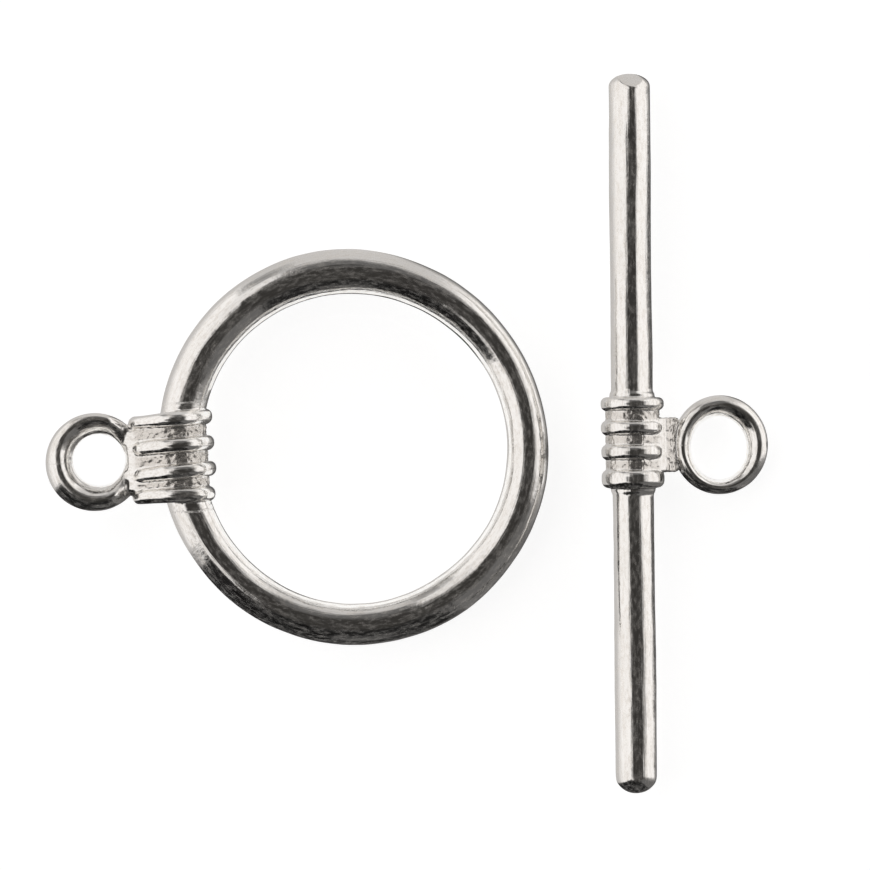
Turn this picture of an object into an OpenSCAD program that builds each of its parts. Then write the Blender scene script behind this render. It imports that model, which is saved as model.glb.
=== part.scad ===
// Toggle clasp in two halves that lie apart on a surface: a ring half and a bar half.
// Millimetres, +Z up. The origin is the middle of the whole clasp's footprint, on the surface.
// Each half rests by itself: its tilt is worked out from the sizes below.

/* [Hoop] */
// Radius of the ring half's hoop, to the middle of its round tube
hoop_r = 6.32; // [5:0.02:9]
// Radius of the hoop's tube
hoop_tube_r = 0.78; // [0.6:0.02:1]

/* [Ring collar] */
// Number of raised wraps across the hoop
ring_wraps = 4; // [3:1:5]
// Distance from one wrap to the next
ring_wrap_pitch = 0.92; // [0.8:0.02:1.1]
// Radius of each wrap's round crest
ring_wrap_crest_r = 0.26; // [0.2:0.01:0.3]
// How far the wraps stand out from the hoop's tube
ring_wrap_rise = 0.5; // [0.4:0.02:0.8]
// Depth of the grooves between the wraps
ring_groove = 0.19; // [0.12:0.01:0.25]
// Distance from the middle of the hoop's tube to the collar's end at the link loop
ring_collar_reach = 1.67; // [1.5:0.01:2.4]
// Half the collar's height at that end
ring_collar_end = 0.85; // [0.7:0.01:1.1]

/* [Ring link loop] */
// Radius of the hole for the jump ring
ring_hole_r = 0.95; // [0.8:0.05:1.5]
// Thickness of the loop's wire, from the hole outwards
ring_loop_wire = 0.84; // [0.6:0.02:0.9]
// Thickness of the loop along its hole
ring_loop_height = 1.1; // [1:0.05:1.3]
// How far the hole's edge stays from the collar's end
ring_hole_edge = 0.26; // [0.1:0.01:0.4]

/* [Bar] */
// Length of the bar from end to end
bar_length = 25.9; // [18:0.1:40]
// Radius of the bar
bar_r = 0.75; // [0.7:0.01:1]
// Rounding of the bar's flatter end
bar_flat_end_r = 0.55; // [0.3:0.05:0.65]
// Rounding of the bar's rounder end
bar_round_end_r = 0.65; // [0.3:0.05:0.65]

/* [Bar collar] */
// Number of raised rings round the bar
bar_wraps = 4; // [3:1:5]
// Distance from one raised ring to the next
bar_wrap_pitch = 0.9; // [0.8:0.02:1.1]
// Radius of each raised ring's round crest
bar_wrap_crest_r = 0.26; // [0.2:0.01:0.3]
// How far the raised rings stand out from the bar
bar_wrap_rise = 0.38; // [0.3:0.01:0.7]
// Depth of the grooves between them
bar_groove = 0.17; // [0.1:0.01:0.2]
// How far the collar's middle lies towards the rounder end from the bar's middle
bar_collar_shift = 0.27; // [0:0.01:1]

/* [Bar web and link loop] */
// Length of the web between the collar and the loop
web_length = 0.38; // [0.3:0.02:1.2]
// Width of the web along the bar
web_width = 2; // [1:0.1:2.4]
// Thickness of the web
web_thickness = 0.7; // [0.5:0.05:0.8]
// Radius of the hole for the jump ring
bar_hole_r = 1.07; // [0.8:0.01:1.6]
// Thickness of the loop's wire, from the hole outwards
bar_loop_wire = 0.63; // [0.5:0.01:0.7]
// Thickness of the loop along its hole
bar_loop_height = 0.9; // [0.8:0.05:1.2]
// How far the loop's middle lies towards the rounder end from the collar's middle
bar_loop_shift = 0.17; // [0:0.01:0.4]

/* [How the halves lie] */
// Distance between the hoop's middle and the bar's middle, across the bar
halves_apart = 10.1; // [9:0.1:14]
// How far the hoop's middle lies towards the bar's rounder end from the bar's middle
ring_drop = 0.475; // [0:0.025:2]
// Turn of the ring half on the surface, in degrees
ring_turn = 3.4; // [-10:0.1:10]
// Turn of the bar half on the surface, in degrees
bar_turn = 0.6; // [-5:0.1:5]

/* [Hidden] */
$fn = 64;
// The hoop has more steps, as it is larger
hoop_fn = 160;
// How far the collar's flat flanks lie inside the round ends that they join
flank_inset = 0.01;
// How far the ends of what the wraps sit on lie inside the outermost wraps' outer faces
end_inset = 0.03;

// Ring half, in its own frame: the hoop's middle is the origin and the loop is towards -X
ring_collar_r = hoop_tube_r + ring_wrap_rise;
ring_taper_run = ring_collar_reach - ring_collar_end;
ring_taper = asin((ring_collar_r - ring_collar_end) / ring_taper_run);
ring_wraps_length = (ring_wraps - 1) * ring_wrap_pitch;
ring_belt_length = ring_wraps_length + 2 * (ring_wrap_crest_r - end_inset);
ring_loop_x = -hoop_r - ring_collar_reach - ring_hole_edge - ring_hole_r;
// The far side of the hoop and the collar's underside both touch the surface
ring_tilt = asin((ring_collar_r - hoop_tube_r) / (2 * hoop_r));
ring_height = (ring_collar_r + hoop_tube_r) / 2;

// Bar half, in its own frame: the bar's middle is the origin, its axis is Y and the loop is towards +X
bar_collar_r = bar_r + bar_wrap_rise;
bar_wraps_length = (bar_wraps - 1) * bar_wrap_pitch;
bar_sleeve_length = bar_wraps_length + 2 * (bar_wrap_crest_r - end_inset);
bar_loop_x = bar_collar_r + web_length + bar_loop_wire + bar_hole_r;
bar_loop_mid_r = bar_hole_r + bar_loop_wire / 2;
bar_loop_flat = (bar_loop_height - bar_loop_wire) / 2;
// The collar and the loop's far edge both touch the surface
bar_lever = bar_loop_x + bar_loop_mid_r;
bar_roll = asin((bar_collar_r - bar_loop_wire / 2) / norm([bar_lever, bar_loop_flat]))
    - atan2(bar_loop_flat, bar_lever);

// How far a loop reaches across the surface from its middle, when its hole's axis leans by the angle
// whose sine is lean
function loop_reach(hole_r, wire, height, lean) =
    (hole_r + wire / 2) * sqrt(1 - lean * lean) + (height - wire) / 2 * abs(lean) + wire / 2;
// How far an end of the bar reaches along Y
function end_reach(end_r) =
    (bar_length / 2 - end_r) * cos(bar_turn) + (bar_r - end_r) * abs(sin(bar_turn)) + end_r;

// The clasp's outermost points, from the hoop's middle across and from the bar's middle along
left_reach = ring_loop_x * cos(ring_tilt) * cos(ring_turn)
    - loop_reach(ring_hole_r, ring_loop_wire, ring_loop_height, sin(ring_tilt) * cos(ring_turn));
right_reach = halves_apart
    + bar_loop_x * cos(bar_roll) * cos(bar_turn) + (bar_collar_shift + bar_loop_shift) * sin(bar_turn)
    + loop_reach(bar_hole_r, bar_loop_wire, bar_loop_height, sin(bar_roll) * cos(bar_turn));
middle_x = (left_reach + right_reach) / 2;
middle_y = (end_reach(bar_flat_end_r) - end_reach(bar_round_end_r)) / 2;

// A loop of oval wire round Z, with a short straight wall in its hole
module link_loop(hole_r, wire, height) {
    rotate_extrude()
        translate([hole_r + wire / 2, 0]) {
            square([wire, height - wire], center = true);
            for (side = [-1, 1]) translate([0, side * (height - wire) / 2]) circle(d = wire);
        }
}

// Outline of a belt round the hoop's tube, which tapers towards the loop; inset is from the crests inwards
module belt_outline(inset) {
    big_r = ring_collar_r - inset;
    small_r = ring_collar_end - inset;
    flank = [-sin(ring_taper), cos(ring_taper)];
    circle(r = big_r);
    translate([-ring_taper_run, 0]) circle(r = small_r);
    polygon([
        (big_r - flank_inset) * flank,
        [-ring_taper_run, 0] + (small_r - flank_inset) * flank,
        [-ring_taper_run, 0] + (small_r - flank_inset) * [flank[0], -flank[1]],
        (big_r - flank_inset) * [flank[0], -flank[1]]
    ]);
}

// Section of a wrap: a round crest on a flat-sided root. Its outward direction is +X
module wrap_section(crest_r, root) {
    circle(r = crest_r);
    translate([-root, -crest_r]) square([root, 2 * crest_r]);
}

// One raised wrap on the belt: an arc round the tube, an arc at the loop's end and two straight flanks,
// which run a little way into both arcs
module belt_wrap() {
    big_r = ring_collar_r - ring_wrap_crest_r;
    small_r = ring_collar_end - ring_wrap_crest_r;
    flank_run = ring_taper_run * cos(ring_taper);
    flank_lap = sqrt(flank_inset * small_r);
    // The flanks go deeper than the arc at the loop's end, whose root reaches halfway to its middle
    flank_root = 0.7 * small_r;
    rotate([0, 0, -90 - ring_taper])
        rotate_extrude(angle = 180 + 2 * ring_taper)
            translate([big_r, 0]) wrap_section(ring_wrap_crest_r, big_r - hoop_tube_r / 2);
    translate([-ring_taper_run, 0, 0])
        rotate([0, 0, 90 + ring_taper])
            rotate_extrude(angle = 180 - 2 * ring_taper)
                translate([small_r, 0]) wrap_section(ring_wrap_crest_r, small_r / 2);
    for (side = [-1, 1])
        mirror([0, side < 0 ? 1 : 0, 0])
            translate([-big_r * sin(ring_taper), big_r * cos(ring_taper), 0])
                rotate([90, 0, 90 + ring_taper])
                    translate([0, 0, -flank_run - flank_lap])
                        linear_extrude(height = flank_run + 2 * flank_lap)
                            wrap_section(ring_wrap_crest_r - flank_inset, flank_root);
}

// The hoop, the collar's belt and the loop, without the wraps
module ring_base() {
    rotate_extrude($fn = hoop_fn) translate([hoop_r, 0]) circle(r = hoop_tube_r);
    translate([-hoop_r, 0, 0])
        rotate([90, 0, 0])
            linear_extrude(height = ring_belt_length, center = true) belt_outline(ring_groove);
    translate([ring_loop_x, 0, 0]) link_loop(ring_hole_r, ring_loop_wire, ring_loop_height);
}

// The raised wraps, evenly spaced across the hoop
module ring_wraps_row() {
    for (i = [0 : ring_wraps - 1])
        translate([-hoop_r, i * ring_wrap_pitch - ring_wraps_length / 2, 0])
            rotate([90, 0, 0]) belt_wrap();
}

// The bar, with a flatter dome at its +Y end and a rounder one at its -Y end
module bar_rod() {
    rotate([-90, 0, 0])
        rotate_extrude() {
            translate([0, bar_round_end_r - bar_length / 2])
                square([bar_r, bar_length - bar_flat_end_r - bar_round_end_r]);
            end_outline(bar_length / 2, -1, bar_flat_end_r);
            end_outline(-bar_length / 2, 1, bar_round_end_r);
        }
}

// Half the outline of a rounded end: tip is its height, inwards is the way back to the bar
module end_outline(tip, inwards, end_r) {
    lower = min(tip, tip + inwards * end_r);
    translate([0, lower]) square([bar_r - end_r, end_r]);
    intersection() {
        translate([bar_r - end_r, tip + inwards * end_r]) circle(r = end_r);
        translate([0, lower]) square([bar_r, end_r]);
    }
}

// The bar, its collar's sleeve, the web and the loop, without the raised rings
module bar_base() {
    bar_rod();
    translate([0, -bar_collar_shift, 0])
        rotate([90, 0, 0])
            cylinder(r = bar_collar_r - bar_groove, h = bar_sleeve_length, center = true);
    translate([0, -bar_collar_shift - bar_loop_shift, 0]) {
        difference() {
            translate([0, -web_width / 2, -web_thickness / 2])
                cube([bar_loop_x - bar_hole_r / 2, web_width, web_thickness]);
            translate([bar_loop_x, 0, 0])
                cylinder(r = bar_loop_mid_r, h = 2 * web_thickness, center = true);
        }
        translate([bar_loop_x, 0, 0]) link_loop(bar_hole_r, bar_loop_wire, bar_loop_height);
    }
}

// The raised rings round the bar's collar
module bar_wraps_row() {
    for (i = [0 : bar_wraps - 1])
        translate([0, i * bar_wrap_pitch - bar_wraps_length / 2 - bar_collar_shift, 0])
            rotate([90, 0, 0])
                rotate_extrude()
                    translate([bar_collar_r - bar_wrap_crest_r, 0])
                        wrap_section(bar_wrap_crest_r, bar_collar_r - bar_wrap_crest_r - bar_r / 2);
}

module toggle_ring() {
    color("silver")
        translate([-middle_x, -ring_drop - middle_y, ring_height])
            rotate([0, 0, ring_turn])
                rotate([0, ring_tilt, 0]) {
                    ring_base();
                    ring_wraps_row();
                }
}

module toggle_bar() {
    color("silver")
        translate([halves_apart - middle_x, -middle_y, bar_collar_r])
            rotate([0, 0, bar_turn])
                rotate([0, bar_roll, 0]) {
                    bar_base();
                    bar_wraps_row();
                }
}

toggle_ring();
toggle_bar();
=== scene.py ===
import math

import bpy
import numpy as np
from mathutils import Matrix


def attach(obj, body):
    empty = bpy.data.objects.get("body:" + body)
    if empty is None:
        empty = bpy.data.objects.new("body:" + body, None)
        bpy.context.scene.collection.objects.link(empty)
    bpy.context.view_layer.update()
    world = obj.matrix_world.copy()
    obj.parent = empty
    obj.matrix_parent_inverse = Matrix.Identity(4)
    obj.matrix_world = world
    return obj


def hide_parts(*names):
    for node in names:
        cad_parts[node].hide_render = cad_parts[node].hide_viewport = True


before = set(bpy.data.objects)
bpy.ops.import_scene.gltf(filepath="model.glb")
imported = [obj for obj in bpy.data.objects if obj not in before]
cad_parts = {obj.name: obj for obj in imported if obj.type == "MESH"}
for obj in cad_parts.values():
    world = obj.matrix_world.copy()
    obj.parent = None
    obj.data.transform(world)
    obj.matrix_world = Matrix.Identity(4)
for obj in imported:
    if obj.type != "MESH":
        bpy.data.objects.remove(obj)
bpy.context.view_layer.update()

# Shapes are worked out in mm, and brought to metres where they become meshes
MM = 0.001
PHOTO_PIXELS = 870
MM_PER_PIXEL = 0.036

# The grid that a casting's skin is laid on: its plain cells along x, y and z, its fine cells, and the longest
# step that a point takes on its way to the surface.
WIDER = 1.0
RING_CELLS = tuple(WIDER * cell for cell in (0.082, 0.082, 0.062))
BAR_CELLS = tuple(WIDER * cell for cell in (0.056, 0.085, 0.056))
FINE_CELL = WIDER * 0.046
LONGEST_STEP = 0.062

# How each half lies on the surface: turn and tilt in degrees, place in mm, as in the construction model
RING_TURN, RING_TILT, RING_PLACE = 3.4, 2.26704, (-2.00648, -0.47552, 1.03)
BAR_TURN, BAR_ROLL, BAR_PLACE = 0.6, 8.52911, (8.09352, -0.00052, 1.13)


# Fields in mm, negative inside the metal

# These keep a root's or a length's reciprocal finite at 0
NO_POWER, NO_LENGTH = 1e-9, 1e-6


def smooth_min(a, b, blend):
    """The lesser of a and b, rounded where they are within blend of each other."""
    near = np.maximum(blend - np.abs(a - b), 0.0) / blend
    return np.minimum(a, b) - near * near * near * (blend / 6.0)


def smooth_max(a, b, blend):
    return -smooth_min(-a, -b, blend)


def smooth_step(start, end, value):
    """0 at start, 1 at end and eased between, where start may be the greater."""
    share = np.clip((value - start) / (end - start), 0.0, 1.0)
    return share * share * (3.0 - 2.0 * share)


def within(tests, share=1.0):
    """share where every value has passed from its first to its second bound, falling to 0 elsewhere."""
    for value, start, end in tests:
        share = share * smooth_step(start, end, value)
    return share


def lowest(fields):
    least = fields[0]
    for field in fields[1:]:
        least = np.minimum(least, field)
    return least


def rounded_box(a, b, half_a, half_b, rounding):
    """Distance in a section to a rectangle with rounded corners."""
    past_a = np.abs(a) - half_a + rounding
    past_b = np.abs(b) - half_b + rounding
    outside = np.sqrt(np.maximum(past_a, 0.0) ** 2 + np.maximum(past_b, 0.0) ** 2)
    return outside + np.minimum(np.maximum(past_a, past_b), 0.0) - rounding


def uneven_capsule(a, b, radius, far_radius, length, power):
    """Distance to the outline round two circles, the first at the origin and the second at a = length.

    Beyond the origin the first circle is an oval of the given power.
    """
    b = np.abs(b)
    lean = (radius - far_radius) / length
    run = math.sqrt(1.0 - lean * lean)
    along = run * a - lean * b
    steep = np.where(a < 0.0, power, 2.0)
    near = (np.abs(a) ** steep + b ** steep + NO_POWER) ** (1.0 / steep) - radius
    far = np.sqrt((a - length) ** 2 + b * b) - far_radius
    side = run * b + lean * a - radius
    return np.where(along < 0.0, near, np.where(along > run * length, far, side))


def harmonics(angle, mean, waves):
    """mean plus waves given as (number round the circle, cosine part, sine part)."""
    total = mean + 0.0 * angle
    for number, cosine_part, sine_part in waves:
        total = total + cosine_part * np.cos(number * angle) + sine_part * np.sin(number * angle)
    return total


class Ripple:
    """A smooth random field from seeded plane waves, about -1 to 1, with one main wavelength."""

    # The waves' numbers as shares of the main one's, and what brings their sum to about -1 to 1
    SPREAD = (0.6, 1.5)
    LOUDNESS = 1.3

    def __init__(self, seed, wavelength, count=22, stretch=(1.0, 1.0, 1.0)):
        rng = np.random.RandomState(seed)
        way = rng.normal(size=(count, 3))
        way /= np.linalg.norm(way, axis=1)[:, None]
        spread = rng.uniform(*self.SPREAD, count)[:, None]
        self.waves = way * (math.tau / wavelength) * spread / np.array(stretch)
        self.phases = rng.uniform(0.0, math.tau, count)
        self.scale = self.LOUDNESS / math.sqrt(count)

    def __call__(self, x, y, z):
        total = 0.0
        for (wave_x, wave_y, wave_z), phase in zip(self.waves, self.phases):
            total = total + np.cos(wave_x * x + wave_y * y + wave_z * z + phase)
        return total * self.scale


def oval_reach(dx, dy, centre, semi):
    """How far the ray (dx, dy) from the origin runs to an oval round centre."""
    (cx, cy), (ax, ay) = centre, semi
    a = (dx / ax) ** 2 + (dy / ay) ** 2
    b = -(cx * dx / ax ** 2 + cy * dy / ay ** 2)
    c = (cx / ax) ** 2 + (cy / ay) ** 2 - 1.0
    return (-b + np.sqrt(b * b - a * c)) / a


def loop_field(x, y, z, hole, hole_semi, rim, rim_semi, half_height, powers, skew):
    """A loop of wire round an oval hole that may sit off the loop's middle.

    The wire's section is an oval whose powers are given for its outer side and its inner side, and for the
    same two at the loop's +Y side, where its crest lies outwards by skew, a share of the wire's half width.
    """
    hx, hy = x - hole[0], y - hole[1]
    reach = np.sqrt(hx * hx + hy * hy) + NO_LENGTH
    dx, dy = hx / reach, hy / reach
    inner = oval_reach(dx, dy, (0.0, 0.0), hole_semi)
    outer = oval_reach(dx, dy, (rim[0] - hole[0], rim[1] - hole[1]), rim_semi)
    half = (outer - inner) / 2.0
    upper = np.maximum(dy, 0.0)
    crest = skew * upper
    across = (reach - inner - half) / half - crest
    outside, inside, outside_up, inside_up = powers
    outside = outside + (outside_up - outside) * upper
    inside = inside + (inside_up - inside) * upper
    power = np.where(across > 0.0, outside, inside)
    across = np.abs(across) / np.where(across > 0.0, 1.0 - crest, 1.0 + crest)
    up = np.abs(z / half_height)
    return ((across ** power + up ** power) ** (1.0 / power) - 1.0) * np.minimum(half, half_height)


# The cast skin's unevenness, in seeded waves of 0.14 to 5 mm
sway_big = Ripple(11, 5.0)
sway_small = Ripple(12, 1.0)
grain = Ripple(13, 0.26, 40)
grit = Ripple(14, 0.14, 40)
dashes = Ripple(15, 0.17, 40, (4.0, 1.0, 1.0))
comb = Ripple(16, 0.42, 40, (5.0, 1.0, 1.0))

# The distances in mm from the grooves' floor, the raised metal and the link loop at which the rough part
# starts and at which it is full. The material also paints shade into the rough part, darker and browner
ROUGH_FLOOR, ROUGH_BY_RAISED, ROUGH_BY_LOOP = (0.20, 0.02), (0.015, 0.07), (-0.02, 0.10)
# The polish runs round a link loop as round a circle of this radius
LOOP_POLISH_R = 1.4
# The depths in mm of the small swaying of the whole skin and of the grit in the rough parts
SMALL_SWAY_DEPTH, GRIT_DEPTH = 0.0018, 0.008


# The ring half, in its own frame: the hoop round the origin, the link loop towards -X

HOOP_R, HOOP_TUBE = 6.32, 0.78
# The cast hoop is not quite round: waves of its outer edge and of its tube's width, from the photograph
HOOP_EDGE = (7.072, ((1, 0.028, -0.020), (2, -0.058, -0.066), (3, 0.022, -0.010)))
HOOP_WIDTH = (1.532, ((1, -0.034, 0.040), (2, -0.020, -0.050), (3, -0.012, -0.018)))

# The collar across the hoop, seen along the hoop: its place, its radius there, its radius at its loop end and
# the run between them
COLLAR_X, COLLAR_R, COLLAR_END, COLLAR_RUN = -6.27, 1.28, 0.78, 0.98
# The power of the collar's right shoulder in its middle, and its fall per mm along the hoop
COLLAR_POWER, COLLAR_POWER_FALL = 1.78, 0.215
# The height at which its crest is flattened, and how softly
COLLAR_CREST, CREST_BLEND = 1.26, 0.3
# What the wraps sit on: its depth below their backs, and its middle and half length along the hoop
CORE_DEPTH, CORE_MIDDLE, CORE_HALF = 0.22, 0.015, 1.53
# Each wrap: its middle along the hoop, its lean, its half width at the hoop's side and at the loop's side,
# and how far it stands out past the plain collar at the hoop's side, all in mm
WRAPS = (
    (1.400, 0.035, 0.275, 0.205, 0.03),
    (0.455, 0.030, 0.265, 0.285, 0.04),
    (-0.475, 0.045, 0.265, 0.280, 0.06),
    (-1.365, -0.010, 0.270, 0.270, -0.02),
)
# A wrap's section: its half depth, its rounding as a share of its half width, and how far it sinks at the
# loop's side
WRAP_DEPTH, WRAP_ROUNDING, WRAP_SINK = 0.34, 0.94, 0.04
# How far right of the collar's place a leaning wrap is at its middle's place and starts to change its section
# towards the loop, and how far past the collar's end it has changed
WRAP_PIVOT, WRAP_FRONT, WRAP_BACK = 1.0, 0.4, 0.7
# The heights between which a wrap comes to stand out
PROUD_RISE = (-0.8, -0.3)
# How softly the ring half's parts meet and the wraps meet them, and how much softer the wraps come to do so
# between two places
RING_BLEND, WRAP_BLEND, WRAP_END_BLEND, WRAP_ENDS = 0.12, 0.035, 0.13, (-7.55, -8.0)

RING_HOLE, RING_HOLE_SEMI = (-9.115, 0.06), (0.93, 0.92)
RING_RIM, RING_RIM_SEMI = (-9.262, 0.0), (1.765, 1.765)
RING_LOOP_HALF, RING_LOOP_POWERS, RING_LOOP_SKEW = 0.60, (2.1, 1.45, 3.6, 1.2), 0.30
# The share by which the loop's wire thins towards the collar, and between which places
LOOP_THINNING, LOOP_THINS = 0.55, (-8.75, -8.05)
# The slope from the collar down to the hole: its middle and half width along the hoop, and its outline
APRON_MIDDLE, APRON_HALF, APRON_R, APRON_END, APRON_RUN = -0.06, 1.10, 0.98, 0.34, 1.58
# How far the slope stays from the hole, and how round its sides and its edge at the hole are
APRON_CLEAR, APRON_SIDES, APRON_EDGE = 0.04, 0.2, 0.1

# Where the rough part starts and is full, to either side along the hoop
RING_ROUGH_ENDS = (1.55, 1.45)
# The hoop's own polish starts right of the first place or past the second on either side, and the loop's left
# of the third
HOOP_POLISH_X, HOOP_POLISH_Y, RING_LOOP_POLISH_X = -4.6, 1.95, RING_RIM[0] + 1.0
# Where the combed skin starts on the hoop: its places along x, and to either side along y
RING_COMBED_X, RING_COMBED_Y = (-4.6, -4.3), (1.9, 2.2)
# The depths in mm of the skin's slow swaying and its combing, and of the rough part's grain and dashes
RING_SWAY_DEPTH, RING_COMB_DEPTH, RING_GRAIN_DEPTH, DASHES_DEPTH = 0.011, 0.0022, 0.010, 0.024


def hoop_field(x, y, z):
    reach = np.sqrt(x * x + y * y)
    angle = np.arctan2(y, x)
    edge = harmonics(angle, *HOOP_EDGE)
    half = harmonics(angle, *HOOP_WIDTH) / 2.0
    across = (reach - edge + half) / half
    return (np.sqrt(across * across + (z / HOOP_TUBE) ** 2) - 1.0) * half


def ring_belt(x, y, z):
    """What the wraps' backs follow from the hoop to the loop."""
    power = COLLAR_POWER - COLLAR_POWER_FALL * y
    belt = uneven_capsule(COLLAR_X - x, z, COLLAR_R, COLLAR_END, COLLAR_RUN, power)
    return smooth_max(belt, z - COLLAR_CREST, CREST_BLEND)


def ring_core(belt, y):
    return smooth_max(belt + CORE_DEPTH, np.abs(y - CORE_MIDDLE) - CORE_HALF, RING_BLEND)


def ring_wraps(belt, x, y, z):
    back = smooth_step(COLLAR_X + WRAP_FRONT, COLLAR_X - COLLAR_RUN - WRAP_BACK, x)
    wraps = []
    for middle, lean, half, half_back, proud in WRAPS:
        across = y - middle - lean * (x - COLLAR_X - WRAP_PIVOT)
        width = half + (half_back - half) * back
        rise = proud * (1.0 - back) * smooth_step(*PROUD_RISE, z)
        depth = belt + WRAP_DEPTH - rise + WRAP_SINK * back
        wraps.append(rounded_box(depth, across, WRAP_DEPTH, width, WRAP_ROUNDING * width))
    return lowest(wraps)


def ring_loop(x, y, z):
    half_height = RING_LOOP_HALF * (1.0 - LOOP_THINNING * smooth_step(*LOOP_THINS, x))
    return loop_field(x, y, z, RING_HOLE, RING_HOLE_SEMI, RING_RIM, RING_RIM_SEMI, half_height,
                      RING_LOOP_POWERS, RING_LOOP_SKEW)


def ring_apron(x, y, z):
    """The slope from the collar down to the loop's hole."""
    apron = uneven_capsule(COLLAR_X - x, z, APRON_R, APRON_END, APRON_RUN, 2.0)
    apron = smooth_max(apron, np.abs(y - APRON_MIDDLE) - APRON_HALF, APRON_SIDES)
    hx, hy = x - RING_HOLE[0], y - RING_HOLE[1]
    hole = RING_HOLE_SEMI[0] + APRON_CLEAR - np.sqrt(hx * hx + hy * hy)
    return smooth_max(apron, hole, APRON_EDGE)


def ring_field(x, y, z):
    belt = ring_belt(x, y, z)
    body = smooth_min(hoop_field(x, y, z), ring_core(belt, y), RING_BLEND)
    body = smooth_min(body, ring_apron(x, y, z), RING_BLEND)
    body = smooth_min(body, ring_loop(x, y, z), RING_BLEND)
    # The wraps fade into the slope at their loop ends
    blend = WRAP_BLEND + WRAP_END_BLEND * smooth_step(*WRAP_ENDS, x)
    return smooth_min(body, ring_wraps(belt, x, y, z), blend)


def ring_recess(x, y, z):
    """1 in the grooves of the collar and beside it, 0 on the wraps and the plain metal."""
    belt = ring_belt(x, y, z)
    return within((
        (ring_core(belt, y), *ROUGH_FLOOR),
        (np.abs(y), *RING_ROUGH_ENDS),
        (ring_wraps(belt, x, y, z), *ROUGH_BY_RAISED),
        (ring_loop(x, y, z), *ROUGH_BY_LOOP),
    ))


def ring_lay(x, y, z):
    """Along the hoop, across it and up, in mm, and along the wraps on the collar: the way of the polish."""
    on_hoop = (x > HOOP_POLISH_X) | (np.abs(y) > HOOP_POLISH_Y)
    along = np.where(on_hoop, np.arctan2(y, x) * HOOP_R, x)
    across = np.where(on_hoop, np.sqrt(x * x + y * y), y)
    dx, dy = x - RING_RIM[0], y - RING_RIM[1]
    on_loop = x < RING_LOOP_POLISH_X
    along = np.where(on_loop, np.arctan2(dy, dx) * LOOP_POLISH_R, along)
    across = np.where(on_loop, np.sqrt(dx * dx + dy * dy), across)
    return np.stack([along, across, z], axis=-1)


def ring_detail(x, y, z):
    recess = ring_recess(x, y, z)
    along, across, up = np.moveaxis(ring_lay(x, y, z), -1, 0)
    combed = smooth_step(*RING_COMBED_Y, np.abs(y)) + smooth_step(*RING_COMBED_X, x)
    swaying = ring_field(x, y, z) + RING_SWAY_DEPTH * sway_big(x, y, z)
    swaying = swaying + SMALL_SWAY_DEPTH * sway_small(x, y, z)
    combing = RING_COMB_DEPTH * np.minimum(combed, 1.0) * comb(along, across, up)
    rough = (RING_GRAIN_DEPTH * grain(x, y, z) + DASHES_DEPTH * dashes(x, y, z)
             + GRIT_DEPTH * grit(x, y, z))
    return swaying + combing + recess * rough


# The bar half, in its own frame: the bar along Y round the origin, the link loop towards +X

BAR_HALF, BAR_R = 12.95, 0.75
FLAT_DOME, ROUND_DOME_R, DOME_BLEND = 0.46, 0.81, 0.12
# A facet across the upper end: how far below the tip it meets the crest, its tilt in degrees, and its edge
FACET_DROP, FACET_TILT, FACET_BLEND = 0.50, 48.0, 0.07
# The rod isn't quite round. Each shoulder's power in its section, and what is added to it between two places
# along the bar
RIGHT_SHOULDER = (1.58, ((0.12, 7.0, 10.5), (-0.12, 11.0, 12.3), (0.42, 2.0, -7.5)))
LEFT_SHOULDER = (1.92, ((0.28, 10.0, 3.0), (-0.16, -1.0, -10.0), (-0.3, 10.5, 12.3)))

# The sleeve below the raised rings, and the neck at its ends: radius or how far it stands out, middle and
# half length along the bar, and how round its ends are
SLEEVE_R, SLEEVE_MIDDLE, SLEEVE_HALF, SLEEVE_ROUND = 0.97, -0.32, 1.52, 0.10
NECK_PROUD, NECK_MIDDLE, NECK_HALF, NECK_ROUND = 0.05, -0.33, 1.78, 0.14
# Each raised ring: its middle along the bar, its half width and how far it stands out past the others
BAR_RINGS = (
    (1.068, 0.235, 0.000),
    (0.208, 0.262, 0.000),
    (-0.668, 0.282, 0.000),
    (-1.620, 0.345, 0.005),
)
# A raised ring's section: its top's radius, its half depth, and its rounding as a share of its half width and
# at most
BAR_RING_R, BAR_RING_DEPTH, BAR_RING_ROUNDING, BAR_RING_ROUND_MOST = 1.13, 0.3, 0.85, 0.27

BAR_HOLE, BAR_HOLE_SEMI = (3.134, -0.544), (1.012, 1.145)
BAR_RIM, BAR_RIM_SEMI = (3.205, -0.449), (1.748, 1.782)
BAR_LOOP_HALF, BAR_LOOP_POWERS, BAR_LOOP_SKEW = 0.45, (2.1, 1.65, 2.1, 1.35), 0.0
# The web between collar and loop: its middle and half size across the bar and along it, and its corners
WEB_X, WEB_HALF_X, WEB_Y, WEB_HALF_Y, WEB_CORNER = 0.92, 0.74, -0.42, 0.97, 0.1
# It falls from the collar to the loop's wire: where from, its half thickness there, its fall and its least
WEB_START, WEB_TOP, WEB_FALL, WEB_LOW = 1.06, 0.54, 0.56, 0.22
# How round the foot of that fall and the web's edges are, how far it stays from the hole, and its edge there
WEB_FOOT, WEB_EDGE, WEB_CLEAR, WEB_HOLE_EDGE = 0.05, 0.1, 0.16, 0.05
# How softly the neck, the sleeve, the web, the loop and the raised rings join the rest
NECK_BLEND, SLEEVE_BLEND, WEB_BLEND, BAR_LOOP_BLEND, BAR_RINGS_BLEND = 0.2, 0.1, 0.08, 0.08, 0.05

# Where the rough part starts and is full: along the bar to either side of the sleeve's middle, and in
# distance from the web and along x on it; and its strength beside the ring half's, both for its roughness
# and for the shade painted into it
BAR_ROUGH_ENDS, WEB_ROUGH, WEB_ROUGH_X, BAR_ROUGH_AND_SHADE = (1.60, 1.45), (0.12, 0.0), (1.05, 1.2), 0.8
# The loop's own polish starts right of this place
BAR_LOOP_POLISH_X = 1.5
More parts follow.
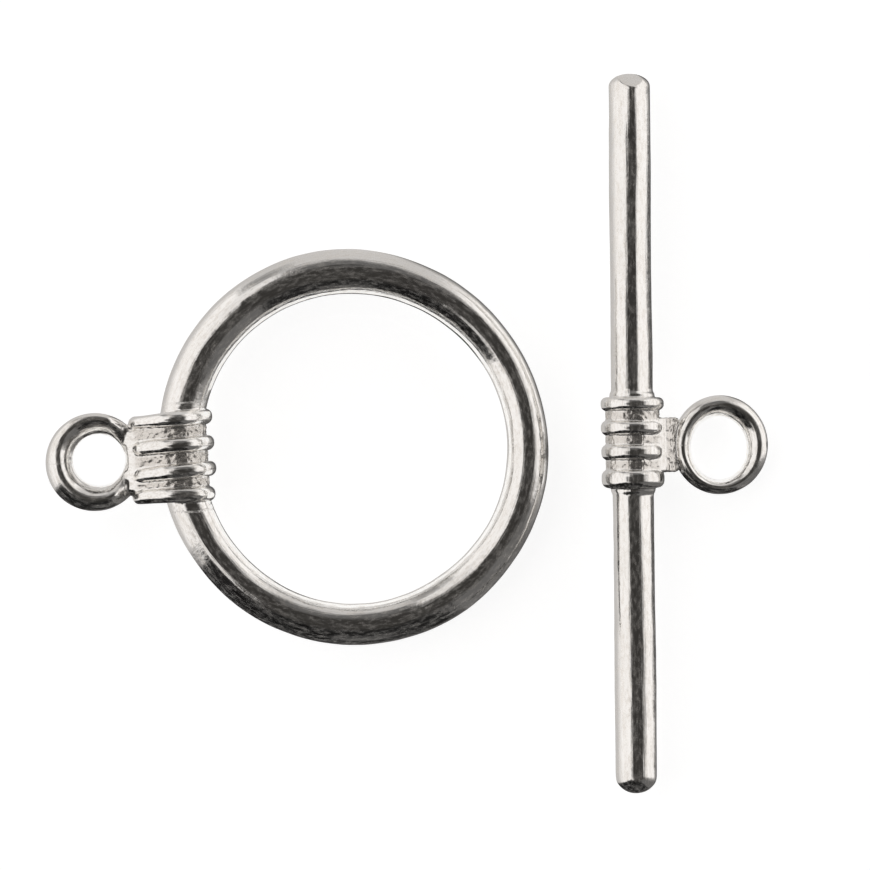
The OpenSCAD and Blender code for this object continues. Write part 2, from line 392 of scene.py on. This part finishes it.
# Where the combed skin starts, to either side of the collar's middle
BAR_COMBED, BAR_COMBED_MIDDLE = (1.9, 2.2), -0.3
# The depths in mm of the skin's slow swaying and its combing, and of the grain in the rough part
BAR_SWAY_DEPTH, BAR_COMB_DEPTH, BAR_GRAIN_DEPTH = 0.010, 0.0013, 0.016
# The bar takes its unevenness from another stretch of the same waves, this far on
BAR_SHIFT = 40.0


def shoulder(y, power, changes):
    for change, start, end in changes:
        power = power + change * smooth_step(start, end, y)
    return power


def rod_field(x, y, z):
    power = np.where(x > 0.0, shoulder(y, *RIGHT_SHOULDER), shoulder(y, *LEFT_SHOULDER))
    reach = (np.abs(x) ** power + np.abs(z) ** power + NO_POWER) ** (1.0 / power)
    side = reach - BAR_R
    start = BAR_HALF - FLAT_DOME
    up = np.maximum(y - start, 0.0) / FLAT_DOME
    top = (np.sqrt((reach / BAR_R) ** 2 + up ** 2) - 1.0) * BAR_R
    ball = np.sqrt(x * x + z * z + (y + BAR_HALF - ROUND_DOME_R) ** 2) - ROUND_DOME_R
    ball = np.where(y < -BAR_HALF + ROUND_DOME_R, ball, -1.0)
    rod = smooth_max(np.where(up > 0.0, top, side), ball, DOME_BLEND)
    tilt = math.radians(FACET_TILT)
    facet = (y - BAR_HALF + FACET_DROP) * math.sin(tilt) + (z - BAR_R) * math.cos(tilt)
    return smooth_max(rod, facet, FACET_BLEND)


def bar_sleeve(reach, y):
    return smooth_max(reach - SLEEVE_R, np.abs(y - SLEEVE_MIDDLE) - SLEEVE_HALF, SLEEVE_ROUND)


def bar_rings(reach, y):
    rings = []
    for middle, half, proud in BAR_RINGS:
        depth = reach - BAR_RING_R - proud + BAR_RING_DEPTH
        rounding = min(BAR_RING_ROUNDING * half, BAR_RING_ROUND_MOST)
        rings.append(rounded_box(depth, y - middle, BAR_RING_DEPTH, half, rounding))
    return lowest(rings)


def bar_web(x, y, z):
    web = rounded_box(x - WEB_X, y - WEB_Y, WEB_HALF_X, WEB_HALF_Y, WEB_CORNER)
    thick = smooth_max(WEB_TOP - WEB_FALL * (x - WEB_START), WEB_LOW, WEB_FOOT)
    web = smooth_max(web, np.abs(z) - thick, WEB_EDGE)
    hx, hy = x - BAR_HOLE[0], y - BAR_HOLE[1]
    clear_x, clear_y = (semi + WEB_CLEAR for semi in BAR_HOLE_SEMI)
    hole = 1.0 - np.sqrt((hx / clear_x) ** 2 + (hy / clear_y) ** 2)
    return smooth_max(web, hole, WEB_HOLE_EDGE)


def bar_loop(x, y, z):
    return loop_field(x, y, z, BAR_HOLE, BAR_HOLE_SEMI, BAR_RIM, BAR_RIM_SEMI, BAR_LOOP_HALF,
                      BAR_LOOP_POWERS, BAR_LOOP_SKEW)


def bar_field(x, y, z):
    reach = np.sqrt(x * x + z * z)
    neck = smooth_max(reach - BAR_R - NECK_PROUD, np.abs(y - NECK_MIDDLE) - NECK_HALF, NECK_ROUND)
    body = smooth_min(rod_field(x, y, z), neck, NECK_BLEND)
    body = smooth_min(body, bar_sleeve(reach, y), SLEEVE_BLEND)
    body = smooth_min(body, bar_web(x, y, z), WEB_BLEND)
    body = smooth_min(body, bar_loop(x, y, z), BAR_LOOP_BLEND)
    return smooth_min(body, bar_rings(reach, y), BAR_RINGS_BLEND)


def bar_recess(x, y, z):
    """Most in the grooves of the collar and on the web, 0 on the raised rings and the plain metal."""
    reach = np.sqrt(x * x + z * z)
    floor = within(((bar_sleeve(reach, y), *ROUGH_FLOOR), (np.abs(y - SLEEVE_MIDDLE), *BAR_ROUGH_ENDS)))
    web = within(((bar_web(x, y, z), *WEB_ROUGH), (x, *WEB_ROUGH_X)))
    beside = ((bar_rings(reach, y), *ROUGH_BY_RAISED), (bar_loop(x, y, z), *ROUGH_BY_LOOP))
    return within(beside, BAR_ROUGH_AND_SHADE * np.maximum(floor, web))


def bar_lay(x, y, z):
    """Along the bar, across it and up, in mm, and round the link loop: the way of the polish."""
    dx, dy = x - BAR_RIM[0], y - BAR_RIM[1]
    on_loop = x > BAR_LOOP_POLISH_X
    along = np.where(on_loop, np.arctan2(dy, dx) * LOOP_POLISH_R, y)
    across = np.where(on_loop, np.sqrt(dx * dx + dy * dy), x)
    return np.stack([along, across, z], axis=-1)


def bar_detail(x, y, z):
    recess = bar_recess(x, y, z)
    shifted = y + BAR_SHIFT
    combed = smooth_step(*BAR_COMBED, np.abs(y - BAR_COMBED_MIDDLE))
    swaying = bar_field(x, y, z) + BAR_SWAY_DEPTH * sway_big(x, shifted, z)
    swaying = swaying + SMALL_SWAY_DEPTH * sway_small(x, shifted, z)
    combing = BAR_COMB_DEPTH * combed * comb(shifted, x, z)
    rough = BAR_GRAIN_DEPTH * grain(x, y, z) + GRIT_DEPTH * grit(x, y, z)
    return swaying + combing + recess * rough


# From a field to a mesh

# The reach in mm over which a field's slope is measured, and the least square of a slope that points follow
SLOPE_REACH, LEAST_SLOPE = 0.002, 0.05
# How many rounds bring the points onto the plain skin, even them out, and bring them onto the detailed skin,
# and the share of the way to its neighbours' middle that a point goes in each round of evening out
SETTLING, EVENING, DETAILING, EVENING_SHARE = 3, 3, 4, 0.6
# How many planes of the grid are worked out at a time, and how many corners one of its cells has
SLAB, CELL_CORNERS = 24, 8
# The lowest height in mm of the skin that is worn flat on the surface
WORN_HEIGHT = 0.001


def slope(field, points):
    slopes = np.empty_like(points)
    for i in range(3):
        step = np.zeros(3)
        step[i] = SLOPE_REACH
        after, before = points + step, points - step
        slopes[:, i] = (field(*after.T) - field(*before.T)) / (2.0 * SLOPE_REACH)
    return slopes


def onto(field, points, rounds, longest_step):
    """Moves points along the field's slope onto its zero level."""
    for _ in range(rounds):
        slopes = slope(field, points)
        steps = field(*points.T) / np.maximum((slopes * slopes).sum(1), LEAST_SLOPE)
        points = points - slopes * np.clip(steps, -longest_step, longest_step)[:, None]
    return points


def grid_lines(low, high, cell, fine):
    """Grid planes from low to high, closer together between the two places in fine."""
    lines = [low]
    while lines[-1] < high:
        lines.append(lines[-1] + (FINE_CELL if fine[0] < lines[-1] < fine[1] else cell))
    return np.array(lines)


def crossing_cells(values, inside):
    """The cells that the zero level passes through, and the mean place in each where it crosses its edges."""
    count = np.array(values.shape)
    tally = np.zeros(count - 1, np.int8)
    for corner in np.ndindex(2, 2, 2):
        tally += inside[tuple(slice(c, n - 1 + c) for c, n in zip(corner, count))]
    cells = np.argwhere((tally > 0) & (tally < CELL_CORNERS))
    total, number = np.zeros((len(cells), 3)), np.zeros(len(cells))
    for axis in range(3):
        u, v = (axis + 1) % 3, (axis + 2) % 3
        for du, dv in ((0, 0), (1, 0), (0, 1), (1, 1)):
            start = np.zeros(3, int)
            start[u], start[v] = du, dv
            end = start.copy()
            end[axis] = 1
            a = values[tuple((cells + start).T)].astype(float)
            b = values[tuple((cells + end).T)].astype(float)
            cross = (a < 0.0) != (b < 0.0)
            share = a[cross] / (a[cross] - b[cross])
            total[cross] += start + share[:, None] * (end - start)
            number[cross] += 1
    return cells, cells + total / number[:, None]


def surface_net(field, axes):
    """Quads round the zero level of a field, one point in each grid cell that it passes through."""
    count = np.array([len(lines) for lines in axes])
    values = np.empty(count, np.float32)
    for i in range(0, count[0], SLAB):
        x, y, z = np.meshgrid(axes[0][i:i + SLAB], axes[1], axes[2], indexing="ij")
        values[i:i + SLAB] = field(x, y, z)
    inside = values < 0.0
    cells, spots = crossing_cells(values, inside)
    index = np.full(count - 1, -1, np.int64)
    index[tuple(cells.T)] = np.arange(len(cells))
    points = np.stack([np.interp(spots[:, i], np.arange(count[i]), axes[i]) for i in range(3)], axis=1)
    quads = []
    for axis in range(3):
        u, v = (axis + 1) % 3, (axis + 2) % 3
        first = [slice(1, n - 1) for n in count]
        first[axis] = slice(0, count[axis] - 1)
        second = list(first)
        second[axis] = slice(1, count[axis])
        a, b = inside[tuple(first)], inside[tuple(second)]
        edge = np.argwhere(a != b)
        outwards = a[tuple(edge.T)]
        edge[:, u] += 1
        edge[:, v] += 1
        back_u, back_v = np.zeros(3, int), np.zeros(3, int)
        back_u[u], back_v[v] = 1, 1
        quad = np.stack([index[tuple((edge - back_u - back_v).T)], index[tuple((edge - back_v).T)],
                         index[tuple(edge.T)], index[tuple((edge - back_u).T)]], axis=1)
        quad[~outwards] = quad[~outwards][:, ::-1]
        quads.append(quad)
    return points, np.concatenate(quads)


def relaxed(field, points, quads, rounds):
    """Evens the points out along the surface."""
    a = quads.ravel()
    b = quads[:, [1, 2, 3, 0]].ravel()
    number = np.bincount(a, minlength=len(points)) + np.bincount(b, minlength=len(points))
    for _ in range(rounds):
        mean = np.empty_like(points)
        for i in range(3):
            mean[:, i] = np.bincount(a, points[b, i], len(points)) + np.bincount(b, points[a, i], len(points))
        move = mean / number[:, None] - points
        way = slope(field, points)
        way /= np.maximum(np.linalg.norm(way, axis=1), NO_LENGTH)[:, None]
        move -= way * (move * way).sum(1)[:, None]
        points = onto(field, points + EVENING_SHARE * move, 1, LONGEST_STEP)
    return points


def skin(field, detail, axes, tilt, place):
    """Points and quads of a skin, evened out on the plain form and then moved onto the detailed one."""
    def resting(x, y, z):
        """The detailed skin, worn flat where it lies on the surface."""
        height = place[2] + z * math.cos(math.radians(tilt)) - x * math.sin(math.radians(tilt))
        return np.maximum(detail(x, y, z), WORN_HEIGHT - height)

    points, quads = surface_net(field, axes)
    points = onto(field, points, SETTLING, LONGEST_STEP)
    points = relaxed(field, points, quads, EVENING)
    return onto(resting, points, DETAILING, LONGEST_STEP / 2), quads


def lie(points, turn, tilt, place):
    """From a half's own frame to the surface that it lies on."""
    t, r = math.radians(turn), math.radians(tilt)
    x, y, z = points.T
    x, z = x * math.cos(r) + z * math.sin(r), z * math.cos(r) - x * math.sin(r)
    x, y = x * math.cos(t) - y * math.sin(t), x * math.sin(t) + y * math.cos(t)
    return np.stack([x, y, z], axis=1) + np.array(place)


def mesh_of_quads(name, points, quads):
    mesh = bpy.data.meshes.new(name)
    mesh.vertices.add(len(points))
    mesh.vertices.foreach_set("co", (points * MM).ravel())
    mesh.loops.add(quads.size)
    mesh.loops.foreach_set("vertex_index", quads.ravel().astype(np.int32))
    mesh.polygons.add(len(quads))
    mesh.polygons.foreach_set("loop_start", np.arange(0, quads.size, quads.shape[1], dtype=np.int32))
    mesh.update(calc_edges=True)
    mesh.validate()
    mesh.shade_smooth()
    return mesh


def in_scene(name, data):
    item = bpy.data.objects.new(name, data)
    bpy.context.scene.collection.objects.link(item)
    return item


def casting(name, node, field, detail, recess, lay, axes, turn, tilt, place):
    """One half: its skin, with the places of its grooves and the way of its polish kept for the material."""
    points, quads = skin(field, detail, axes, tilt, place)
    mesh = mesh_of_quads(name, lie(points, turn, tilt, place), quads)
    hollows = mesh.attributes.new("recess", "FLOAT", "POINT")
    hollows.data.foreach_set("value", recess(*points.T).astype(np.float32))
    ways = mesh.attributes.new("lay", "FLOAT_VECTOR", "POINT")
    ways.data.foreach_set("vector", lay(*points.T).astype(np.float32).ravel())
    piece = in_scene(name, mesh)
    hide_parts(node)
    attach(piece, "root")
    return piece


# Nodes of a material

def node_at(tree, kind, **inputs):
    node = tree.nodes.new(kind)
    for key, value in inputs.items():
        node.inputs[key.replace("_", " ")].default_value = value
    return node


def ranged(tree, value, low, high, start=0.0, end=1.0):
    """value between low and high brought to between start and end, eased at both ends."""
    node = node_at(tree, "ShaderNodeMapRange", From_Min=low, From_Max=high, To_Min=start, To_Max=end)
    node.interpolation_type = "SMOOTHSTEP"
    tree.links.new(value, node.inputs["Value"])
    return node.outputs[0]


def reckoned(tree, kind, *terms):
    """A sum in nodes: each term is an output or a number."""
    node = tree.nodes.new("ShaderNodeMath")
    node.operation = kind
    for term, socket in zip(terms, node.inputs):
        if isinstance(term, float):
            socket.default_value = term
        else:
            tree.links.new(term, socket)
    return node.outputs[0]


def mixed(tree, share, one, other):
    """A colour between one, an output or a colour, and the colour other."""
    node = node_at(tree, "ShaderNodeMixRGB", Color2=other)
    tree.links.new(share, node.inputs["Fac"])
    if isinstance(one, tuple):
        node.inputs["Color1"].default_value = one
    else:
        tree.links.new(one, node.inputs["Color1"])
    return node.outputs["Color"]


def attribute(tree, name):
    node = tree.nodes.new("ShaderNodeAttribute")
    node.attribute_name = name
    return node


def noise(tree, where, scale, detail):
    node = node_at(tree, "ShaderNodeTexNoise", Scale=scale, Detail=detail)
    tree.links.new(where, node.inputs["Vector"])
    return node.outputs["Fac"]


def stretched(tree, where, scale):
    node = node_at(tree, "ShaderNodeMapping", Scale=scale)
    tree.links.new(where, node.inputs["Vector"])
    return node.outputs["Vector"]


def bumped(tree, height, strength, depth, under=None):
    node = node_at(tree, "ShaderNodeBump", Strength=strength, Distance=depth)
    tree.links.new(height, node.inputs["Height"])
    if under is not None:
        tree.links.new(under, node.inputs["Normal"])
    return node.outputs["Normal"]


def vector_sum(tree, kind, one, other=None):
    """A sum of vectors in nodes: one is an output, other a vector where the sum takes two."""
    node = tree.nodes.new("ShaderNodeVectorMath")
    node.operation = kind
    tree.links.new(one, node.inputs[0])
    if other is not None:
        node.inputs[1].default_value = other
    return node


# Materials

# The plate's patterns in noise: its scale per mm along, across and above the polish, or else one scale per
# metre for all ways; its detail; the values between which it rises, and what it rises from and to
PATTERNS = {
    "streaks": ((0.6, 8.0, 8.0), 4.0, (0.42, 0.66), (0.0, 1.0)),
    "clouds": ((0.25, 0.9, 0.9), 3.0, (0.40, 0.62), (0.3, 1.0)),
    "specks": (9000.0, 2.0, (0.40, 0.64), (0.35, 1.0)),
    "warmth": (900.0, 3.0, (0.35, 0.65), (0.0, 1.0)),
    "mottle": ((3.6, 10.0, 10.0), 3.0, (0.42, 0.72), (0.0, 1.0)),
    "gloss": (1500.0, 5.0, (0.35, 0.7), (0.045, 0.10)),
}
# The plate's fine relief in the same noise: soft polishing waves, hairlines along the polish and small
# unevenness, each with its scale, detail and strength; and the depth in metres that they share
RELIEF = ((2600.0, 4.0, 0.12), ((0.5, 12.0, 12.0), 3.0, 0.35), (6500.0, 3.0, 0.19))
RELIEF_DEPTH = 0.00002
# The crumbs in the grooves: scale, detail, strength and depth
CRUMBS = (9000.0, 2.0, 0.6, 0.00003)
# The haze is gone where the rough part has come to this share of its strength
HAZE_END = 0.3
# The plate's colours where it is clean, in its warm clouds, in the haze, in the grooves, where it is painted
# shade, and in the mottling
CLEAN, WARM = (0.93, 0.918, 0.895, 1.0), (0.97, 0.96, 0.94, 1.0)
HAZED, GROOVE_SHADE_COLOUR, MOTTLED = (0.93, 0.905, 0.865, 1.0), (0.72, 0.675, 0.62, 1.0), (0.90, 0.85, 0.785, 1.0)
# The most that the painted shade in the grooves and the colour of the mottling take over
GROOVE_SHADE_SHARE, MOTTLED_SHARE = 0.7, 0.5
# How much of the light grooves, haze and mottling scatter at most, and how much rougher they are
GROOVES_DULL, HAZE_DULL, MOTTLE_DULL = 0.16, 0.14, 0.19
GROOVES_ROUGH, HAZE_ROUGH, MOTTLE_ROUGH = 0.16, 0.10, 0.08


def new_material(name):
    material = bpy.data.materials.new(name)
    material.use_nodes = True
    return material, material.node_tree, material.node_tree.nodes["Principled BSDF"]


def silver():
    material, tree, shader = new_material("bright_silver_plate")
    where = tree.nodes.new("ShaderNodeTexCoord").outputs["Object"]
    recess = attribute(tree, "recess").outputs["Fac"]
    lay = attribute(tree, "lay").outputs["Vector"]

    def drawn(scale, detail):
        """Noise drawn out along the polish where scale has three numbers, and in place where it has one."""
        if isinstance(scale, tuple):
            return noise(tree, stretched(tree, lay, scale), 1.0, detail)
        return noise(tree, where, scale, detail)

    def pattern(name):
        scale, detail, between, outcome = PATTERNS[name]
        return ranged(tree, drawn(scale, detail), *between, *outcome)

    def product(one, other):
        return reckoned(tree, "MULTIPLY", one, other)

    def added(base, term, share):
        return reckoned(tree, "MULTIPLY_ADD", term, share, base)

    # Handling haze: streaks along the polish, stronger in larger clouds, with fine specks, none in grooves
    haze = product(product(pattern("streaks"), pattern("clouds")), pattern("specks"))
    haze = product(haze, ranged(tree, recess, 0.0, HAZE_END, 1.0, 0.0))
    mottle = pattern("mottle")
    # Colour: clean plate with faint warm clouds, duller in the haze and the mottling, and painted shade in
    # the grooves, darker and browner
    colour = mixed(tree, pattern("warmth"), CLEAN, WARM)
    colour = mixed(tree, haze, colour, HAZED)
    # Painted shade: the grooves darker and browner, where shade falls in them
    colour = mixed(tree, product(recess, GROOVE_SHADE_SHARE), colour, GROOVE_SHADE_COLOUR)
    colour = mixed(tree, product(mottle, MOTTLED_SHARE), colour, MOTTLED)
    tree.links.new(colour, shader.inputs["Base Color"])
    # Haze, mottling and grooves scatter a little light as well
    dull = added(added(product(haze, HAZE_DULL), recess, GROOVES_DULL), mottle, MOTTLE_DULL)
    tree.links.new(reckoned(tree, "SUBTRACT", 1.0, dull), shader.inputs["Metallic"])
    gloss = added(added(pattern("gloss"), haze, HAZE_ROUGH), mottle, MOTTLE_ROUGH)
    tree.links.new(added(gloss, recess, GROOVES_ROUGH), shader.inputs["Roughness"])
    normal = None
    for scale, detail, strength in RELIEF:
        normal = bumped(tree, drawn(scale, detail), strength, RELIEF_DEPTH, normal)
    scale, detail, strength, depth = CRUMBS
    normal = bumped(tree, product(drawn(scale, detail), recess), strength, depth, normal)
    tree.links.new(normal, shader.inputs["Normal"])
    return material


# The pale surface glows a little, so that it is as white as the photograph's background
PAPER_GREY, PAPER_GLOW = 0.45, 0.86
PAPER_ROUGHNESS, PAPER_SHINE = 0.6, 0.2


def paper():
    material, _, shader = new_material("pale_surface")
    shader.inputs["Roughness"].default_value = PAPER_ROUGHNESS
    shader.inputs["Specular IOR Level"].default_value = PAPER_SHINE
    shader.inputs["Base Color"].default_value = (PAPER_GREY, PAPER_GREY, PAPER_GREY, 1.0)
    shader.inputs["Emission Color"].default_value = (1.0, 1.0, 1.0, 1.0)
    shader.inputs["Emission Strength"].default_value = PAPER_GLOW
    return material


# Pieces

# Each half's grid along x, y and z: from, to, and where the cells are fine
NOWHERE = (0.0, 0.0)
RING_GRID = ((-11.25, 7.4, (-8.3, -4.8)), (-7.4, 7.4, (-1.8, 1.8)), (-1.45, 1.45, NOWHERE))
BAR_GRID = ((-1.35, 5.15, (1.0, 1.8)), (-13.15, 13.15, (-2.1, 1.6)), (-1.35, 1.35, NOWHERE))


def grid(cells, reaches):
    return [grid_lines(low, high, cell, fine) for cell, (low, high, fine) in zip(cells, reaches)]


ring = casting("ring_half", "toggle_ring", ring_field, ring_detail, ring_recess, ring_lay,
               grid(RING_CELLS, RING_GRID), RING_TURN, RING_TILT, RING_PLACE)
bar = casting("bar_half", "toggle_bar", bar_field, bar_detail, bar_recess, bar_lay,
              grid(BAR_CELLS, BAR_GRID), BAR_TURN, BAR_ROLL, BAR_PLACE)
metal = silver()
for piece in (ring, bar):
    piece.data.materials.append(metal)
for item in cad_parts.values():
    item.data.materials.clear()
    item.data.materials.append(metal)


# The floor

# It runs up into a low wall far away: reach and height in metres
FLOOR_PROFILE = ((0.0, 0.0), (0.75, 0.0), (0.82, 0.01), (0.87, 0.04), (0.9, 0.09), (0.9, 0.25))
FLOOR_SIDES = 96
# The floor inside the three openings: its middle, its inner and outer radius in mm, and how far it reaches to
# either side of +X, in degrees
OPENINGS = (
    ("floor_in_hoop", -2.0, -0.475, 2.1, 4.75, 156.0),
    ("floor_in_ring_loop", -11.18, -1.02, 0.05, 0.9, 180.0),
    ("floor_in_bar_loop", 11.27, -0.41, 0.05, 1.0, 180.0),
)
# How far in mm it lies above the rest of the floor
ABOVE_FLOOR = 0.004


def circle(radius):
    """The corners of a circle round the origin."""
    turns = [math.tau * i / FLOOR_SIDES for i in range(FLOOR_SIDES)]
    return [(radius * math.cos(turn), radius * math.sin(turn)) for turn in turns]


def staged(name, points, faces, material):
    mesh = bpy.data.meshes.new(name)
    mesh.from_pydata(points, [], faces)
    mesh.materials.append(material)
    item = in_scene(name, mesh)
    return item


def wide_floor(material):
    """The floor round the clasp. The metal doesn't mirror it: the studio stands in."""
    points = [(0.0, 0.0, 0.0)]
    for reach, height in FLOOR_PROFILE[1:]:
        points += [(x, y, height) for x, y in circle(reach)]
    faces = []
    for i in range(FLOOR_SIDES):
        j = (i + 1) % FLOOR_SIDES
        faces.append((0, 1 + i, 1 + j))
        for k in range(len(FLOOR_PROFILE) - 2):
            a = 1 + k * FLOOR_SIDES
            faces.append((a + i, a + FLOOR_SIDES + i, a + FLOOR_SIDES + j, a + j))
    floor = staged("floor", points, faces, material)
    floor.data.shade_smooth()
    floor.visible_glossy = False


def floor_in_opening(material, name, middle_x, middle_y, inner, outer, sweep):
    """A band of floor that the metal does mirror."""
    points = [(MM * (middle_x + x), MM * (middle_y + y), MM * ABOVE_FLOOR)
              for radius in (inner, outer) for x, y in circle(radius)]
    faces = []
    for i in range(FLOOR_SIDES):
        j = (i + 1) % FLOOR_SIDES
        if abs((i + 0.5) / FLOOR_SIDES * 360.0 - 180.0) > 180.0 - sweep:
            faces.append((i, i + FLOOR_SIDES, j + FLOOR_SIDES, j))
    staged(name, points, faces, material)


pale = paper()
wide_floor(pale)
for opening in OPENINGS:
    floor_in_opening(pale, *opening)


# Light

# The studio as sectors painted one over the other: the azimuth of its middle, its half width and the
# softness of its sides; where it starts and ends in polar angle and how softly, all in degrees; its tone
SECTORS = (
    ("back_haze", 90, 34, 12, 28, 180, 12, 0.12),
    ("back_wall", 92, 42, 10, 60, 180, 11, 0.59),
    ("back_left", 120, 9, 7, 60, 96, 12, 0.27),
    ("right_window", 24, 30, 9, 54, 180, 14, 0.99),
    ("right_near", 0, 13, 5, 50, 180, 18, 0.99),
    ("right_low", 24, 44, 8, 122, 180, 8, 0.34),
    ("right_wall", 335, 9, 9, 66, 180, 14, 0.30),
    ("left_window", 172, 47, 5, 23, 180, 9, 0.95),
    ("left_top", 144, 15, 8, 18, 60, 7, 0.93),
    ("left_tip", 122, 12, 7, 30, 60, 8, 0.80),
    ("left_low", 170, 60, 12, 106, 180, 28, 0.54),
    ("front_right", 318, 20, 8, 35, 180, 10, 0.12),
    ("front", 259, 44.5, 3.5, 36, 180, 8, 0.014),
    ("front_gap", 272, 9, 7, 78, 112, 10, 0.070),
    ("front_deep", 246, 18, 6, 46, 116, 6, 0.006),
    ("left_corner", 224, 11, 7, 23, 33, 5, 0.80),
    ("under", 350, 85, 10, 142, 180, 9, 0.10),
    ("right_edge", 0.6, 2.4, 2, 114, 180, 7, 0.08),
)
TOP_TONE, DARK_TONE = 0.034, 0.2
WARM_TOP, WARM_LIGHT, WARM_DARK = (1.07, 1.0, 0.93), (1.0, 0.972, 0.955), (1.03, 1.0, 0.985)
STRAIGHT_DOWN = 180


def tinted(tone, warmth):
    return tuple(tone * part for part in warmth) + (1.0,)


def cosine(degrees):
    return math.cos(math.radians(min(max(degrees, 0.0), 180.0)))


def studio():
    world = bpy.data.worlds.new("studio")
    bpy.context.scene.world = world
    world.use_nodes = True
    tree = world.node_tree
    way = tree.nodes.new("ShaderNodeTexCoord").outputs["Generated"]
    split = tree.nodes.new("ShaderNodeSeparateXYZ")
    tree.links.new(way, split.inputs[0])
    up = split.outputs["Z"]
    flat = vector_sum(tree, "MULTIPLY", way, (1.0, 1.0, 0.0)).outputs[0]
    level = vector_sum(tree, "NORMALIZE", flat).outputs[0]
    colour = tinted(TOP_TONE, WARM_TOP)
    for _, azimuth, half, soft, start, end, blur, tone in SECTORS:
        turn = math.radians(azimuth)
        towards = vector_sum(tree, "DOT_PRODUCT", level, (math.cos(turn), math.sin(turn), 0.0))
        share = ranged(tree, up, cosine(start - blur), cosine(start + blur))
        sides = ranged(tree, towards.outputs["Value"], cosine(half + soft), cosine(half - soft))
        share = reckoned(tree, "MULTIPLY", share, sides)
        if end < STRAIGHT_DOWN:
            bottom = ranged(tree, up, cosine(end + blur), cosine(end - blur))
            share = reckoned(tree, "MULTIPLY", share, bottom)
        warmth = WARM_DARK if tone < DARK_TONE else WARM_LIGHT
        colour = mixed(tree, share, colour, tinted(tone, warmth))
    tree.links.new(colour, tree.nodes["Background"].inputs["Color"])


studio()


# Camera

LENS = 300.0
SENSOR = 36.0
CLIP_START, CLIP_END = 0.01, 5.0
VIEW_WIDTH = PHOTO_PIXELS * MM_PER_PIXEL
# The photograph's middle on the surface, and the height whose scale is the photograph's
AIM = (0.98, -0.054, 1.0)

camera_data = bpy.data.cameras.new("camera")
camera_data.lens = LENS
camera_data.sensor_width = SENSOR
camera_data.clip_start = CLIP_START
camera_data.clip_end = CLIP_END
camera = in_scene("camera", camera_data)
camera.location = (AIM[0] * MM, AIM[1] * MM, (AIM[2] + VIEW_WIDTH * LENS / SENSOR) * MM)
bpy.context.scene.camera = camera
bpy.context.scene.view_settings.view_transform = "Standard"
